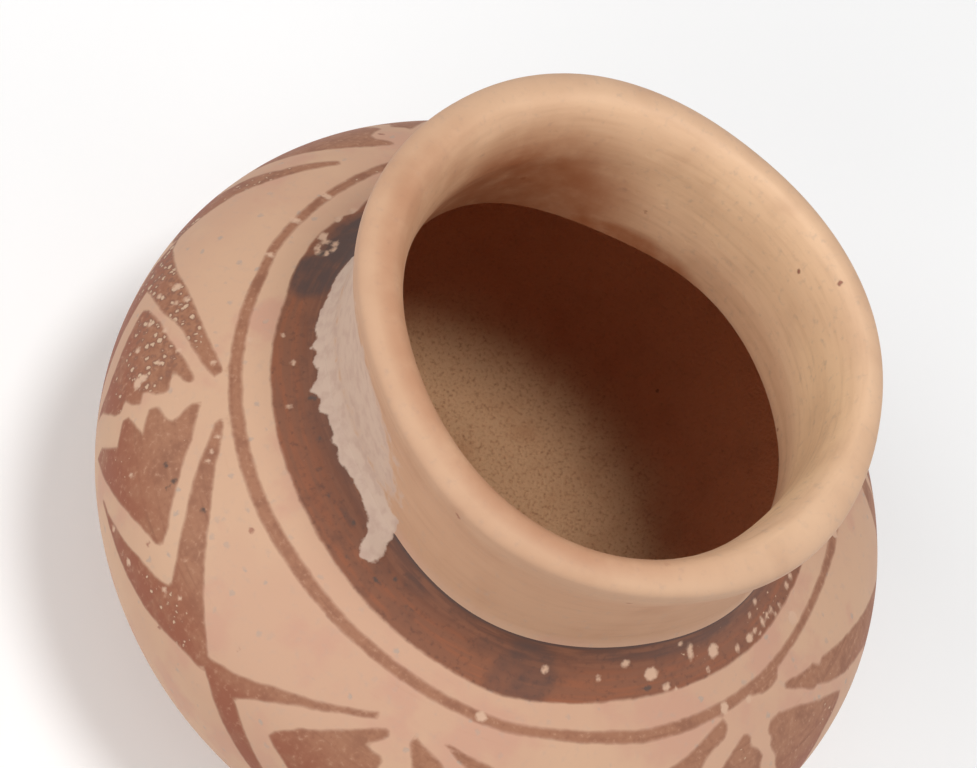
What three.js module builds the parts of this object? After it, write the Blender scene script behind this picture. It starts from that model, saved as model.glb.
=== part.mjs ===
// A small hand-built pottery jar: a flat-footed round belly, a short flaring neck and a thick rolled lip.
// It is built as such jars are, from a base patch pressed in a dish and rings of rolled clay laid one on
// another. Each ring is bevelled and laps down inside the ring below, so that the wall is scarfed all round.
// The jar stands on z = 0 with its axis on z. Sizes are in millimetres and angles in degrees.
import * as THREE from "three";

// The belly is half an ellipse below its widest line, cut flat to make the foot.
const BELLY_RADIUS = 80.1;
const BELLY_HEIGHT = 49;
const FOOT_RADIUS = 26.8;
const FOOT_EDGE = 3; // how far the soft corner of the foot reaches each way

// The shoulder is one curve that leaves the belly upright and meets the neck at a slope.
const SHOULDER_RISE = 33.8;
const SHOULDER_FULLNESS = 20.8; // how strongly it holds upright above the belly
const SHOULDER_SWEEP = 19.3; // how strongly it holds its slope below the neck
const SHOULDER_SLOPE = 38.5;

// The neck rises from the shoulder with a small inside corner and flares to the lip.
const NECK_RADIUS = 46.7;
const NECK_RISE = 31.4; // from the shoulder to the lip's widest line
const NECK_CORNER = 3;
const NECK_UPRIGHT = 21; // how strongly the neck stands upright before it flares
const LIP_FLARE = 5.3; // how far the lip stands out past the neck
const LIP_ROLL = 7; // how strongly the lip turns upright again at its widest line
const LIP_RISE = 2.9; // the lip's crest above its widest line

// Wall thicknesses
const FLOOR_WALL = 8;
const BODY_WALL = 6;
const NECK_WALL = 4.9;
const LIP_WALL = 8.3;

// The clay rings between the base patch and the neck, from the foot up
const WALL_COILS = ["lower_coil_1", "lower_coil_2", "belly_coil", "shoulder_coil_1", "shoulder_coil_2"];
const PATCH_WIDTH = 60; // the base patch's reach along the outside, from the centre of the foot
const LAP = 8; // how far down each ring laps inside the ring below
const RIM_COIL_WIDTH = 13; // the last ring's height on the outside, below the lip's widest line

// The mouth isn't quite round. Each entry is a depth in mm and the angle of its first crest: a shift moves
// the whole ring sideways, an oval has two crests, and the rest have three, four or five.
const NECK_WAVER = { oval: [1.16, -32], threeLobed: [0.59, -56], fourLobed: [0.5, 1], fiveLobed: [0.56, -8] };
const THROAT_WAVER = { oval: [0.55, 2], threeLobed: [1.03, 36], fourLobed: [0.34, -31], fiveLobed: [0.65, 10] };
const LIP_OUTSIDE_WAVER = { shift: [1.28, 172], oval: [1.16, -61], threeLobed: [0.41, 41], fiveLobed: [0.35, -19] };
const LIP_INSIDE_WAVER = { oval: [0.87, -90], threeLobed: [0.96, 43], fourLobed: [0.47, 31] };
const CRESTS = { shift: 1, oval: 2, threeLobed: 3, fourLobed: 4, fiveLobed: 5 };
const WAVER_FADE = 25; // how far down the shoulder the neck's waver dies out

// Facets
const SEGMENTS = 72; // round the jar
const ROW_LENGTH = 7; // the longest row of facets up the wall
const ROW_TURN = 9; // the most that the wall bends between two rows
const CREST_ROWS = 9; // over the lip, from outside to inside
const WALK = 0.25; // the step in which a row's length and bend are measured

const radians = THREE.MathUtils.degToRad;
const { lerp, smoothstep } = THREE.MathUtils;
const point = (r, z) => new THREE.Vector2(r, z);

// The outside of the wall, from the centre of the foot to the lip's widest line, in the plane of r and z
const shoulderTop = BELLY_HEIGHT + SHOULDER_RISE;
const lipHeight = shoulderTop + NECK_RISE;
const lipRadius = NECK_RADIUS + LIP_FLARE;
const lowerDepth = BELLY_HEIGHT / Math.sqrt(1 - (FOOT_RADIUS / BELLY_RADIUS) ** 2);
const lowerStart = -Math.acos((FOOT_RADIUS + FOOT_EDGE) / BELLY_RADIUS);
const slope = point(Math.cos(radians(SHOULDER_SLOPE)), -Math.sin(radians(SHOULDER_SLOPE)));
const neckCorner = point(NECK_RADIUS, shoulderTop);
const cornerStart = neckCorner.clone().addScaledVector(slope, NECK_CORNER);
const cornerEnd = point(NECK_RADIUS, shoulderTop + NECK_CORNER);
const bellyPoint = point(BELLY_RADIUS, BELLY_HEIGHT);
const lowerEllipse = new THREE.EllipseCurve(0, BELLY_HEIGHT, BELLY_RADIUS, lowerDepth, lowerStart, 0);

const foot = new THREE.LineCurve(point(0, 0), point(FOOT_RADIUS - FOOT_EDGE, 0));
const footCorner = new THREE.QuadraticBezierCurve(foot.v2, point(FOOT_RADIUS, 0), lowerEllipse.getPoint(0));
const shoulder = new THREE.CubicBezierCurve(
  bellyPoint,
  point(BELLY_RADIUS, BELLY_HEIGHT + SHOULDER_FULLNESS),
  cornerStart.clone().addScaledVector(slope, SHOULDER_SWEEP - NECK_CORNER),
  cornerStart,
);
const innerCorner = new THREE.QuadraticBezierCurve(cornerStart, neckCorner, cornerEnd);
const neck = new THREE.CubicBezierCurve(
  cornerEnd,
  point(NECK_RADIUS, cornerEnd.y + NECK_UPRIGHT),
  point(lipRadius, lipHeight - LIP_ROLL),
  point(lipRadius, lipHeight),
);
const outside = new THREE.CurvePath();
for (const curve of [foot, footCorner, lowerEllipse, shoulder, innerCorner, neck]) outside.add(curve);

// Places along the outside, as lengths from the centre of the foot
const lipWidest = outside.getLength();
const neckStart = lipWidest - neck.getLength();
const neckFoot = neckStart - innerCorner.getLength() / 2;
const outsideAt = (along) => outside.getPoint(along / lipWidest);

// The bore of the neck opens evenly from the throat to the lip.
const boreAt = (z) => {
  const up = (z - cornerEnd.y) / (lipHeight - cornerEnd.y);
  return lerp(NECK_RADIUS - NECK_WALL, lipRadius - LIP_WALL, up);
};

// The inside of the wall at a place along it: square to the wall in the body, and level in the neck
function insideAt(along) {
  const skin = outsideAt(along);
  if (along >= neckStart) return point(boreAt(skin.y), skin.y);
  const up = outside.getTangent(along / lipWidest);
  const floor = 1 - smoothstep(along, FOOT_RADIUS, PATCH_WIDTH);
  const body = lerp(BODY_WALL, FLOOR_WALL, floor);
  const wall = lerp(body, NECK_WALL, smoothstep(along, neckFoot - BODY_WALL, neckStart));
  return point(skin.x - up.y * wall, skin.y + up.x * wall);
}

// How far a waver pushes the wall out at an angle round the jar
function waverOut(waver, angle) {
  let out = 0;
  for (const [kind, [depth, crest]] of Object.entries(waver)) {
    out += depth * Math.cos(CRESTS[kind] * (angle - radians(crest)));
  }
  return out;
}

// The waver at a place along the wall, as a share of the neck's and of the lip's
function waverShares(along) {
  if (along < neckFoot) return [Math.max(0, 1 - (neckFoot - along) / WAVER_FADE) ** 2, 0];
  const up = (along - neckFoot) / (lipWidest - neckFoot);
  return [1 - up, up];
}

const outsideVertex = (along) => {
  const [atNeck, atLip] = waverShares(along);
  const out = (angle) => atNeck * waverOut(NECK_WAVER, angle) + atLip * waverOut(LIP_OUTSIDE_WAVER, angle);
  return { at: outsideAt(along), out };
};
const insideVertex = (along) => {
  const [atNeck, atLip] = waverShares(along);
  const out = (angle) => atNeck * waverOut(THROAT_WAVER, angle) + atLip * waverOut(LIP_INSIDE_WAVER, angle);
  return { at: insideAt(along), out };
};

// The places of the rows between two places: a row ends where it is long enough or has bent enough.
function rowsBetween(start, end) {
  const steps = Math.ceil((end - start) / WALK);
  const rows = [start];
  let length = 0;
  let bend = 0;
  let last = outside.getTangent(start / lipWidest).angle();
  for (let i = 1; i < steps; i += 1) {
    const along = lerp(start, end, i / steps);
    const heading = outside.getTangent(along / lipWidest).angle();
    length += (end - start) / steps;
    bend += Math.abs(heading - last);
    last = heading;
    if (length >= ROW_LENGTH || bend >= radians(ROW_TURN)) {
      rows.push(along);
      length = 0;
      bend = 0;
    }
  }
  return [...rows, end];
}

// The lip's crest, from its widest line over to the bore, without the two ends
function crestVertices() {
  const centre = lipRadius - LIP_WALL / 2;
  const vertices = [];
  for (let i = 1; i < CREST_ROWS; i += 1) {
    const over = i / CREST_ROWS;
    const r = centre + (LIP_WALL / 2) * Math.cos(Math.PI * over);
    const z = lipHeight + LIP_RISE * Math.sin(Math.PI * over);
    const out = (angle) => lerp(waverOut(LIP_OUTSIDE_WAVER, angle), waverOut(LIP_INSIDE_WAVER, angle), over);
    vertices.push({ at: point(r, z), out });
  }
  return vertices;
}

// Turns a profile round the axis. A closed profile makes a ring, and one that starts and ends on the axis
// makes a dish. Each square is split from its wider edge, so that two pieces share their seam's triangles.
function turned(profile, closed) {
  const positions = [];
  const rings = profile.map(({ at, out }) => {
    const first = positions.length / 3;
    const count = at.x === 0 ? 1 : SEGMENTS;
    for (let i = 0; i < count; i += 1) {
      const angle = (2 * Math.PI * i) / SEGMENTS;
      const r = at.x === 0 ? 0 : at.x + out(angle);
      positions.push(r * Math.cos(angle), r * Math.sin(angle), at.y);
    }
    return { radius: at.x, vertex: (i) => first + (i % count) };
  });
  const faces = [];
  const last = closed ? rings.length : rings.length - 1;
  for (let j = 0; j < last; j += 1) {
    const low = rings[j];
    const high = rings[(j + 1) % rings.length];
    for (let i = 0; i < SEGMENTS; i += 1) {
      const [a, b, c, d] = [low.vertex(i), low.vertex(i + 1), high.vertex(i + 1), high.vertex(i)];
      if (low.radius === 0) faces.push(a, c, d);
      else if (high.radius === 0) faces.push(a, b, d);
      else if (low.radius > high.radius) faces.push(a, b, c, a, c, d);
      else faces.push(a, b, d, b, c, d);
    }
  }
  const geometry = new THREE.BufferGeometry();
  geometry.setAttribute("position", new THREE.Float32BufferAttribute(positions, 3));
  geometry.setIndex(faces);
  geometry.computeVertexNormals();
  return geometry;
}

// A piece of wall between two seams, with the crest on the last one
function wallProfile(start, end, crest = []) {
  const up = rowsBetween(start, end).map(outsideVertex);
  const top = crest.length ? end : end - LAP;
  const down = rowsBetween(start - LAP, top).map(insideVertex).reverse();
  return [...up, ...crest, ...down];
}

const fired = { roughness: 0.75, metalness: 0 };
const bodyClay = new THREE.MeshStandardMaterial({ color: "#cfa27c", ...fired });
const rimClay = new THREE.MeshStandardMaterial({ color: "#d9b48f", ...fired });

function piece(name, profile, closed, material) {
  const mesh = new THREE.Mesh(turned(profile, closed), material);
  mesh.name = name;
  return mesh;
}

const jar = new THREE.Group();
jar.name = "pottery_jar";

const patchUp = rowsBetween(0, PATCH_WIDTH).map(outsideVertex);
const patchDown = rowsBetween(0, PATCH_WIDTH - LAP).map(insideVertex).reverse();
jar.add(piece("base_patch", [...patchUp, ...patchDown], false, bodyClay));

const coilWidth = (neckFoot - PATCH_WIDTH) / WALL_COILS.length;
WALL_COILS.forEach((name, i) => {
  const start = PATCH_WIDTH + i * coilWidth;
  const end = i === WALL_COILS.length - 1 ? neckFoot : PATCH_WIDTH + (i + 1) * coilWidth;
  jar.add(piece(name, wallProfile(start, end), true, bodyClay));
});

const rimSeam = lipWidest - RIM_COIL_WIDTH;
jar.add(piece("neck_coil", wallProfile(neckFoot, rimSeam), true, rimClay));
jar.add(piece("rim_coil", wallProfile(rimSeam, lipWidest, crestVertices()), true, rimClay));

export default jar;
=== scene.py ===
# %% [markdown]
# # A painted pottery jar
# A round jar 16 cm across, built from coils of buff clay, scraped thin, dipped in a fine slip and
# painted in iron brown before it was fired. The lesson starts from the jar's measured solid. It gives
# the jar a finer skin, stores the painted pattern on that skin as numbers, and lets the materials read
# them. Every length in the tables is in millimetres and every angle in degrees.

import math

import bmesh
import bpy
import numpy as np
from mathutils import Matrix, Vector, noise


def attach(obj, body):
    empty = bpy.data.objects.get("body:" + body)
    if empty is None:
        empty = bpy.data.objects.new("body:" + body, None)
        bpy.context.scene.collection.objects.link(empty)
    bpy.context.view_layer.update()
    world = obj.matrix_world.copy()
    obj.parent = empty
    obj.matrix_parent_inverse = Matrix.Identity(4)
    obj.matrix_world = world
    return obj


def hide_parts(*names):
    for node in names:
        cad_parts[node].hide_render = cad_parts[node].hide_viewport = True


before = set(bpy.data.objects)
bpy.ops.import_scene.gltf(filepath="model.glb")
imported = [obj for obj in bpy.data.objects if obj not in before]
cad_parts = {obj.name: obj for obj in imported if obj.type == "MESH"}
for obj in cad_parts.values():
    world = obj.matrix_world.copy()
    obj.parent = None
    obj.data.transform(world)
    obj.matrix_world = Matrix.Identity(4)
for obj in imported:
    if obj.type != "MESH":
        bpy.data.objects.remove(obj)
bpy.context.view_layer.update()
MM = 0.001
print("nodes of the solid:", sorted(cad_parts))

# %% [markdown]
# ## The camera
# The jar is seen from above at 54.5 degrees and the picture is rolled, so that the jar leans to the
# upper right. The three directions of a camera are the columns of its turning matrix: right, up, and
# back from the view. The focal length is in pixels of a picture 977 wide, and Blender wants it in
# millimetres on a 36 mm sensor.

# %% Place the camera
PICTURE_WIDTH = 977
FOCAL_PIXELS = 2800
SENSOR = 36
CAMERA_PLACE = (-14.15, -307.28, 505.5)
CAMERA_RIGHT = (0.7842, 0.5054, 0.3601)
CAMERA_UP = (-0.6206, 0.6386, 0.4550)

camera = bpy.data.objects.new("camera", bpy.data.cameras.new("camera"))
camera.data.sensor_width = SENSOR
camera.data.lens = FOCAL_PIXELS / PICTURE_WIDTH * SENSOR
camera.data.clip_start = 0.01
right = Vector(CAMERA_RIGHT).normalized()
up = (Vector(CAMERA_UP) - right * right.dot(Vector(CAMERA_UP))).normalized()
turn = Matrix((right, up, right.cross(up))).transposed()
camera.matrix_world = Matrix.Translation(Vector(CAMERA_PLACE) * MM) @ turn.to_4x4()
bpy.context.scene.collection.objects.link(camera)
bpy.context.scene.camera = camera
print("lens in mm:", round(camera.data.lens, 2))

# %% [markdown]
# ## The section of the wall
# A jar like this is described by one line: the outside of its wall, from the middle of the foot to
# the lip. The line could be drawn point by point, but a few curves hold it better. Under the widest
# part the belly is half an ellipse, cut flat to make the foot. Above it one curve sweeps in to the
# neck, a small soft corner turns it upwards, and a last curve flares to the lip.

# %% Draw the outside of the wall
BELLY_RADIUS = 80.1
BELLY_HEIGHT = 49
FOOT_RADIUS = 26.8
FOOT_EDGE = 3
SHOULDER_TOP = BELLY_HEIGHT + 33.8
SHOULDER_FULLNESS = 20.8
SHOULDER_SWEEP = 19.3
SHOULDER_SLOPE = math.radians(38.5)
NECK_RADIUS = 46.7
NECK_CORNER = 3
NECK_UPRIGHT = 21
LIP_RADIUS = NECK_RADIUS + 5.3
LIP_HEIGHT = SHOULDER_TOP + 31.4
LIP_ROLL = 7


def pulled(*corners, steps=200):
    """Points along the curve that runs from the first corner to the last and leans to the others."""
    points = np.array(corners, float)[:, None, :]
    share = np.linspace(0, 1, steps)[:, None]
    while len(points) > 1:
        points = points[:-1] * (1 - share) + points[1:] * share
    return points[0]


lower_depth = BELLY_HEIGHT / math.sqrt(1 - (FOOT_RADIUS / BELLY_RADIUS) ** 2)
turns = np.linspace(-math.acos((FOOT_RADIUS + FOOT_EDGE) / BELLY_RADIUS), 0, 400)
bowl = np.stack([BELLY_RADIUS * np.cos(turns), BELLY_HEIGHT + lower_depth * np.sin(turns)], 1)
slope = np.array([math.cos(SHOULDER_SLOPE), -math.sin(SHOULDER_SLOPE)])
neck_corner = np.array([NECK_RADIUS, SHOULDER_TOP])
corner_start = neck_corner + slope * NECK_CORNER
corner_end = neck_corner + [0, NECK_CORNER]
sweep_from = corner_start + slope * (SHOULDER_SWEEP - NECK_CORNER)

foot = pulled((0, 0), (FOOT_RADIUS - FOOT_EDGE, 0))
foot_corner = pulled(foot[-1], (FOOT_RADIUS, 0), bowl[0])
shoulder = pulled(bowl[-1], (BELLY_RADIUS, BELLY_HEIGHT + SHOULDER_FULLNESS), sweep_from, corner_start)
inner_corner = pulled(corner_start, neck_corner, corner_end)
neck_upright = corner_end + [0, NECK_UPRIGHT]
neck = pulled(corner_end, neck_upright, (LIP_RADIUS, LIP_HEIGHT - LIP_ROLL), (LIP_RADIUS, LIP_HEIGHT))
outline = np.concatenate([foot] + [part[1:] for part in (foot_corner, bowl, shoulder, inner_corner, neck)])


def lengths_along(points):
    """The distance of each point from the first, along the line."""
    return np.concatenate([[0], np.cumsum(np.hypot(*np.diff(points, axis=0).T))])


outline_lengths = lengths_along(outline)
lip_widest = outline_lengths[-1]
neck_start = lip_widest - lengths_along(neck)[-1]
neck_foot = neck_start - lengths_along(inner_corner)[-1] / 2
print("wall in mm: neck foot at", round(neck_foot, 2), "and lip at", round(lip_widest, 2))

# %% [markdown]
# ## The inside of the wall
# The potter thinned the wall by scraping, so it is 8 mm thick at the floor, 6 mm in the belly and
# 4.9 mm in the neck, and 10.3 mm at the rolled lip. In the body the inside lies square to the outside.
# The neck's coil ends in a crisp throat, and from there a bore runs up to the lip. The lip is half an
# ellipse, low on the outside and deep on the inside, where it was smoothed round.

# %% Find the inside and the lip
FLOOR_WALL = 8
BODY_WALL = 6
NECK_WALL = 4.9
LIP_WALL = 10.3
LIP_RISE = 2.9
LIP_FALL = 14
THROAT_DROP = 0.4
THROAT_REACH = 16
FLOOR_REACH = 60
PROBE = 0.05


def eased(value, start, end):
    """0 before start, 1 after end, and a soft step between them."""
    share = np.clip((value - start) / (end - start), 0, 1)
    return share * share * (3 - 2 * share)


def outside_at(along):
    """Radius and height of the outside, at lengths along it."""
    return np.stack([np.interp(along, outline_lengths, outline[:, i]) for i in (0, 1)], -1)


def square_to(places, along):
    """The direction square to a line, pointing away from the clay."""
    ahead = places(np.minimum(along + PROBE, lip_widest)) - places(np.maximum(along - PROBE, 0))
    ahead /= np.linalg.norm(ahead, axis=-1, keepdims=True)
    return np.stack([ahead[..., 1], -ahead[..., 0]], -1)


def lining_at(along):
    """Radius and height of the inside of the body, square to its outside."""
    wall = FLOOR_WALL + (BODY_WALL - FLOOR_WALL) * eased(along, FOOT_RADIUS, FLOOR_REACH)
    return outside_at(along) - square_to(outside_at, along) * wall[..., None]


throat = np.array([NECK_RADIUS - NECK_WALL, corner_end[1] - THROAT_DROP])
mouth = np.array([LIP_RADIUS - LIP_WALL, LIP_HEIGHT + LIP_RISE - LIP_FALL])
under_throat = lining_at(np.array([neck_foot - THROAT_REACH]))[0]


def inside_at(along):
    """Radius and height of the inside, opposite the same lengths."""
    under = np.clip((neck_foot - along) / THROAT_REACH, 0, 1)[..., None]
    above = np.clip((along - neck_foot) / (lip_widest - neck_foot), 0, 1)[..., None]
    line = throat + (under_throat - throat) * under + (mouth - throat) * above
    return np.where(under < 1, line, lining_at(along))


print("throat and mouth in mm:", throat.round(2), mouth.round(2))

# %% [markdown]
# ## The mouth isn't round
# A coil pot's mouth wavers by a millimetre or two. A waver is a number of crests round the jar, with
# a depth in mm and the angle of the first crest. Without a crest it makes the whole ring wider or
# narrower, one crest moves the ring sideways, two make an oval, and more make it lobed. The neck's
# waver dies out down the shoulder, and gives way to the lip's on the way up.

# %% Describe the wavers
NECK_WAVER = {2: (1.16, -32), 3: (0.59, -56), 4: (0.5, 1), 5: (0.56, -8)}
THROAT_WAVER = {2: (0.55, 2), 3: (1.03, 36), 4: (0.34, -31), 5: (0.65, 10)}
LIP_OUTSIDE_WAVER = {0: (-0.23, 0), 1: (1.3, -171), 2: (1.13, -56), 3: (0.38, 36), 5: (0.45, -16)}
LIP_INSIDE_WAVER = {2: (0.87, -90), 3: (0.96, 43), 4: (0.47, 31)}
WAVER_FADE = 25


def waver(crests, angle):
    """How far the wall stands out at an angle, from its wavers."""
    return sum(depth * np.cos(n * (angle - math.radians(at))) for n, (depth, at) in crests.items())


once_round = waver(LIP_OUTSIDE_WAVER, np.linspace(0, math.tau, 360))
print("the lip stands out by mm:", round(once_round.min(), 2), "to", round(once_round.max(), 2))

# %% [markdown]
# ## Rows of points
# A spin needs a section made of points. The paint is stored at the points, so they lie 0.8 mm apart
# where the jar is painted, and further apart under the belly and inside, where nothing is drawn. Each
# row keeps its place along the wall, its side (0 outside, 1 inside, and between them over the lip)
# and the direction that points away from the clay.

# %% Set out the rows
def set_out(steps, end):
    """Places along the wall: from each (start, step) evenly on to the next start, and so to the end."""
    stops = [start for start, _ in steps[1:]] + [end]
    pieces = []
    for (start, step), stop in zip(steps, stops):
        count = max(1, round(abs(stop - start) / step))
        pieces.append(np.linspace(start, stop, count + 1)[:-1])
    return np.concatenate([*pieces, [end]])


def wall_rows(along, side):
    """Rows on one face of the wall: side, along, radius, height and outward direction."""
    places = inside_at if side else outside_at
    outward = square_to(places, along) * (-1 if side else 1)
    return np.column_stack([np.full_like(along, side), along, places(along), outward])


def lip_rows(over):
    """Rows over the lip, from the outside to the inside."""
    turned = np.pi * over
    depth = np.where(over > 0.5, LIP_FALL, LIP_RISE)
    place = np.stack([LIP_RADIUS - LIP_WALL / 2 * (1 - np.cos(turned)),
                      LIP_HEIGHT + LIP_RISE - depth * (1 - np.sin(turned))], 1)
    outward = np.stack([np.cos(turned) * depth, np.sin(turned) * LIP_WALL / 2], 1)
    outward /= np.linalg.norm(outward, axis=1, keepdims=True)
    return np.column_stack([over, np.full_like(over, lip_widest), place, outward])


PAINTED_FROM = 93
OUTSIDE_STEPS = [(0, 6), (24, 1), (34, 3), (PAINTED_FROM, 0.8), (neck_foot - 4, 0.5)]
LINING_STEPS = [(neck_foot, 1), (neck_foot - 8, 3.5), (24, 6)]
NECK_STEPS = [(neck_foot, 0.4), (neck_start + 2, 0.8)]
BORE_STEPS = [(lip_widest, 1)]
LIP_ROWS = 21

body_rows = np.concatenate([wall_rows(set_out(OUTSIDE_STEPS, neck_foot), 0),
                            wall_rows(set_out(LINING_STEPS, 0), 1)])
neck_rows = np.concatenate([wall_rows(set_out(NECK_STEPS, lip_widest)[:-1], 0),
                            lip_rows(np.linspace(0, 1, LIP_ROWS)),
                            wall_rows(set_out(BORE_STEPS, neck_foot)[1:], 1)])
print("rows: body", len(body_rows), "neck", len(neck_rows))

# %% [markdown]
# ## Turning the section
# The section is a chain of points joined by edges, and the spin operator carries it round the axis. A
# full spin would do, but an eighth of one, copied and turned three times, gives the same rings in a
# tenth of the time. A layer named row comes along on every copy of a point, so each point still knows
# which row it belongs to.

# %% Spin a section round the axis
SEGMENTS = 600
DOUBLINGS = 3
WELD = 0.002


def turned_clay(name, rows, closed):
    """A mesh spun from a section, and the row number of each of its points."""
    bm = bmesh.new()
    row_layer = bm.verts.layers.int.new("row")
    section = []
    for number, (radius, height) in enumerate(rows[:, 2:4]):
        vert = bm.verts.new((radius * MM, 0, height * MM))
        vert[row_layer] = number
        section.append(vert)
    edges = [bm.edges.new(pair) for pair in zip(section, section[1:])]
    if closed:
        edges.append(bm.edges.new((section[-1], section[0])))
    done = math.tau / 2 ** DOUBLINGS
    bmesh.ops.spin(bm, geom=section + edges, cent=(0, 0, 0), axis=(0, 0, 1),
                   angle=done, steps=SEGMENTS // 2 ** DOUBLINGS)
    for _ in range(DOUBLINGS):
        copied = bmesh.ops.duplicate(bm, geom=bm.verts[:] + bm.edges[:] + bm.faces[:])["geom"]
        corners = [part for part in copied if isinstance(part, bmesh.types.BMVert)]
        bmesh.ops.rotate(bm, verts=corners, cent=(0, 0, 0), matrix=Matrix.Rotation(done, 3, "Z"))
        done *= 2
    bmesh.ops.remove_doubles(bm, verts=bm.verts, dist=WELD * MM)
    bmesh.ops.recalc_face_normals(bm, faces=bm.faces)
    mesh = bpy.data.meshes.new(name)
    bm.to_mesh(mesh)
    bm.free()
    row = np.empty(len(mesh.vertices), np.int32)
    mesh.attributes["row"].data.foreach_get("value", row)
    mesh.attributes.remove(mesh.attributes["row"])
    triangles = sum(len(face.vertices) - 2 for face in mesh.polygons)
    print(name, "points", len(row), "triangles", triangles)
    return mesh, row


body_mesh, body_row = turned_clay("jar_body", body_rows, closed=False)
neck_mesh, neck_row = turned_clay("jar_neck", neck_rows, closed=True)

# %% [markdown]
# ## Where each point is on the jar
# The pattern is easiest to draw on the wall laid flat: an angle round the jar, and a distance down
# the wall from the foot of the neck. Both are found once for each point.

# %% Lay the wall flat
def read_points(mesh):
    """The points of a mesh as rows of x, y and z, in mm."""
    flat = np.empty(len(mesh.vertices) * 3)
    mesh.vertices.foreach_get("co", flat)
    return flat.reshape(-1, 3) / MM


class Skin:
    """What is known of each point of a spun mesh, laid flat."""

    def __init__(self, mesh, rows, row):
        points = read_points(mesh)
        self.mesh = mesh
        self.side, self.along, self.radius, self.height, self.out_r, self.out_z = rows[row].T
        self.turn = np.arctan2(points[:, 1], points[:, 0])
        self.angle = np.degrees(self.turn)
        in_neck = (self.side > 0.5) & (self.along > neck_foot)
        self.down = np.where(in_neck, throat[1] - self.height, neck_foot - self.along)
        self.outer = self.side < 0.5


body_skin = Skin(body_mesh, body_rows, body_row)
neck_skin = Skin(neck_mesh, neck_rows, neck_row)
print("painted zone in mm down the wall: 0 to", round(neck_foot - PAINTED_FROM, 1))

# %% [markdown]
# ## The painted pattern
# The painter laid one broad band round the foot of the neck, a thin ring below it, and six stepped
# diamonds that meet corner to corner round the shoulder. Each painted shape is kept as a signed depth:
# how many mm a point lies inside the shape's edge, and below zero outside it. A depth changes evenly
# from point to point, so its edge stays smooth between the points, which a painted mask wouldn't.

# %% Measure the depth inside an outline
REACH = 60
MARGIN_TURN = 12
MARGIN_DOWN = 8


def depth_inside(skin, outline_points):
    """How deep each point lies inside an outline of (angle, mm down) corners; negative outside."""
    corners = np.array(outline_points, float)
    depth = np.full(len(skin.angle), -REACH, float)
    middle = corners[:, 0].mean()
    span = np.ptp(corners[:, 0]) / 2 + MARGIN_TURN
    away = (skin.angle - middle + 180) % 360 - 180
    beyond = np.maximum(corners[:, 1].min() - skin.down, skin.down - corners[:, 1].max())
    near = skin.outer & (np.abs(away) < span) & (beyond < MARGIN_DOWN)
    across = np.radians(corners[:, :1] - middle - away[near]) * skin.radius[near]
    below = corners[:, 1:] - skin.down[near]
    step_x = np.roll(across, -1, axis=0) - across
    step_y = np.roll(below, -1, axis=0) - below
    length = np.maximum(step_x ** 2 + step_y ** 2, 1e-9)
    share = np.clip(-(across * step_x + below * step_y) / length, 0, 1)
    distance = np.hypot(across + share * step_x, below + share * step_y).min(axis=0)
    crosses = (below > 0) != (np.roll(below, -1, axis=0) > 0)
    with np.errstate(divide="ignore", invalid="ignore"):
        passes = across - below * step_x / step_y > 0
    inside = (crosses & passes).sum(axis=0) % 2 == 1
    depth[near] = np.where(inside, distance, -distance)
    return depth


def depth_in_spots(skin, spots):
    """The same for round or oval spots: (angle, mm down, half width, half height)."""
    depth = np.full(len(skin.angle), -REACH, float)
    for angle, down, half_width, half_height in spots:
        across = np.radians((skin.angle - angle + 180) % 360 - 180) * skin.radius
        size = min(half_width, half_height)
        inside = (1 - np.hypot(across / half_width, (skin.down - down) / half_height)) * size
        depth = np.maximum(depth, np.where(skin.outer, inside, -REACH))
    return depth


# %% [markdown]
# ## The band and the ring
# Both were drawn freely while the jar was turned, so their edges wander. A table of angles and
# distances gives the wandering line, and each value between is found along a straight line.

# %% Draw the band and the ring
BAND_EDGE = [
    (-178.7, 11.6), (-175.6, 11.3), (-172, 11.2), (-165, 10.3), (-150, 10.6), (-110, 10.7), (-95, 11.1),
    (-80, 11.3), (-67, 12.1), (-55, 11), (-45, 10.4), (-28, 10.3), (-10, 10.4), (0, 10), (20, 10.2),
    (45, 10.9), (70, 10.5), (95, 10), (120, 10.6), (145, 11.2), (165.7, 10.8), (168.2, 10), (170.1, 10.2),
    (171.9, 11.2), (174.9, 11.3), (178.5, 11.8)]
RING_MIDDLE = [
    (-190, 17.8), (-175, 17.8), (-168, 17.0), (-140, 17.0), (-120, 16.8), (-110, 16.4), (-90, 16.4),
    (-80, 16.7), (-65, 17.3), (-55, 16.9), (-45, 17.1), (-40, 17.6), (-30, 17.5), (-20, 17.3),
    (-12, 17.1), (-5, 16.6), (7, 16.2), (15, 16.7), (22, 17.3), (45, 17.0), (75, 17.6), (105, 17.1),
    (130, 17.4), (150, 17.9)]
RING_HALF = [
    (-175, 0.9), (-150, 1.15), (-110, 1.1), (-80, 0.95), (-60, 0.85), (-40, 1.15), (-28, 1.1), (-5, 0.85),
    (10, 0.8), (20, 1.0), (60, 1.1), (100, 0.9), (140, 1.05)]
RING_BLOB = [
    (-16.8, 17), (-14.1, 16.9), (-10.9, 16.5), (-8, 16.1), (-8.4, 17.7), (-9.6, 19.3), (-11.5, 19.9),
    (-13.7, 19.6), (-15.5, 18.9), (-16.8, 18)]


def along_table(angle, table):
    """A value that wanders round the jar, from (angle, value) pairs."""
    angles, values = np.array(table, float).T
    return np.interp(angle, angles, values, period=360)


body_skin.band = along_table(body_skin.angle, BAND_EDGE) - body_skin.down
ring_half = along_table(body_skin.angle, RING_HALF)
ring = ring_half - np.abs(body_skin.down - along_table(body_skin.angle, RING_MIDDLE))
body_skin.strokes = np.maximum(ring, depth_inside(body_skin, RING_BLOB))
print("painted band and ring: points", int((body_skin.band > 0).sum()), int((ring > 0).sum()))

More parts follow.
